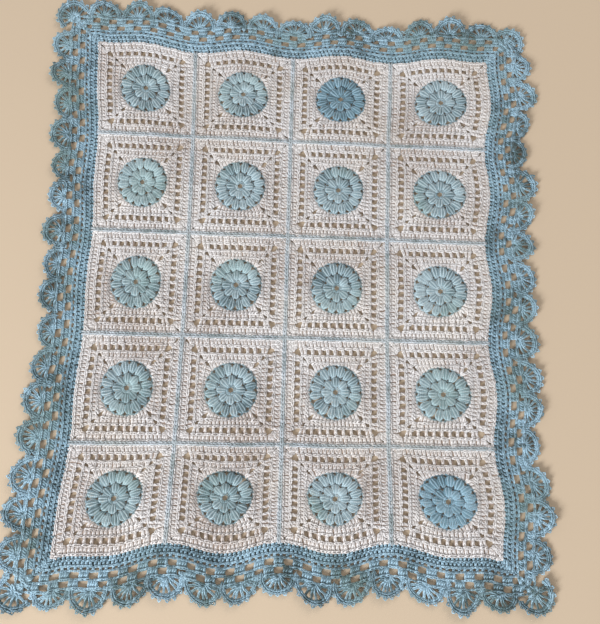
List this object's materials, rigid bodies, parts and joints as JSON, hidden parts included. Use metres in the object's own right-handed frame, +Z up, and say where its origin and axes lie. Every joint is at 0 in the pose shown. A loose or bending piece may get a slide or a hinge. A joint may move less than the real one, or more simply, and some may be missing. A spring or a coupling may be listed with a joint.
{
  "type": "throw blanket",
  "caption": "Crocheted throw blanket of square mandala motifs in cream and blue, with a lacy shell border, lying flat and foldable along its centre seam.",
  "frame": {"origin": "on the floor plane, on the centre seam, halfway along the blanket before its ends are drawn in", "axes": "+X across the four columns, +Y along the five rows towards the top end, +Z up from the floor"},
  "size_m": [0.6968, 0.8429, 0.0085],
  "materials": {
    "cream_yarn": "matte cotton yarn, cream, crocheted in solid and openwork rounds",
    "duck_egg_yarn": "matte duck-egg blue cotton yarn, variegated, puffed stitches",
    "deep_blue_yarn": "matte sea blue cotton yarn, puffed stitches",
    "seam_yarn": "matte light blue cotton yarn in a raised slip-stitch ridge",
    "border_yarn": "matte blue cotton yarn, variegated, in openwork and shells"
  },
  "bodies": {
    "right_half": {"square_r1c3_ground": "cream_yarn", "square_r1c3_mandala": "deep_blue_yarn", "square_r1c4_ground": "cream_yarn", "square_r1c4_mandala": "duck_egg_yarn", "square_r2c3_ground": "cream_yarn", "square_r2c3_mandala": "duck_egg_yarn", "square_r2c4_ground": "cream_yarn", "square_r2c4_mandala": "duck_egg_yarn", "square_r3c3_ground": "cream_yarn", "square_r3c3_mandala": "duck_egg_yarn", "square_r3c4_ground": "cream_yarn", "square_r3c4_mandala": "duck_egg_yarn", "square_r4c3_ground": "cream_yarn", "square_r4c3_mandala": "duck_egg_yarn", "square_r4c4_ground": "cream_yarn", "square_r4c4_mandala": "duck_egg_yarn", "square_r5c3_ground": "cream_yarn", "square_r5c3_mandala": "duck_egg_yarn", "square_r5c4_ground": "cream_yarn", "square_r5c4_mandala": "deep_blue_yarn", "seams_right": "seam_yarn", "top_right_band": "border_yarn", "bottom_right_band": "border_yarn", "right_band": "border_yarn", "top_right_mesh": "border_yarn", "bottom_right_mesh": "border_yarn", "right_mesh": "border_yarn", "top_right_shells": "border_yarn", "bottom_right_shells": "border_yarn", "right_shells": "border_yarn"},
    "left_half": {"square_r1c1_ground": "cream_yarn", "square_r1c1_mandala": "duck_egg_yarn", "square_r1c2_ground": "cream_yarn", "square_r1c2_mandala": "duck_egg_yarn", "square_r2c1_ground": "cream_yarn", "square_r2c1_mandala": "duck_egg_yarn", "square_r2c2_ground": "cream_yarn", "square_r2c2_mandala": "duck_egg_yarn", "square_r3c1_ground": "cream_yarn", "square_r3c1_mandala": "duck_egg_yarn", "square_r3c2_ground": "cream_yarn", "square_r3c2_mandala": "duck_egg_yarn", "square_r4c1_ground": "cream_yarn", "square_r4c1_mandala": "duck_egg_yarn", "square_r4c2_ground": "cream_yarn", "square_r4c2_mandala": "duck_egg_yarn", "square_r5c1_ground": "cream_yarn", "square_r5c1_mandala": "duck_egg_yarn", "square_r5c2_ground": "cream_yarn", "square_r5c2_mandala": "duck_egg_yarn", "seams_left": "seam_yarn", "top_left_band": "border_yarn", "bottom_left_band": "border_yarn", "left_band": "border_yarn", "top_left_mesh": "border_yarn", "bottom_left_mesh": "border_yarn", "left_mesh": "border_yarn", "top_left_shells": "border_yarn", "bottom_left_shells": "border_yarn", "left_shells": "border_yarn"}
  },
  "joints": [
    {"name": "fold_in_half", "type": "hinge", "parent": "right_half", "child": "left_half", "pos_m": [0, 0, 0.0105], "axis": [0, 1, 0], "range_deg": [0, 180]}
  ]
}
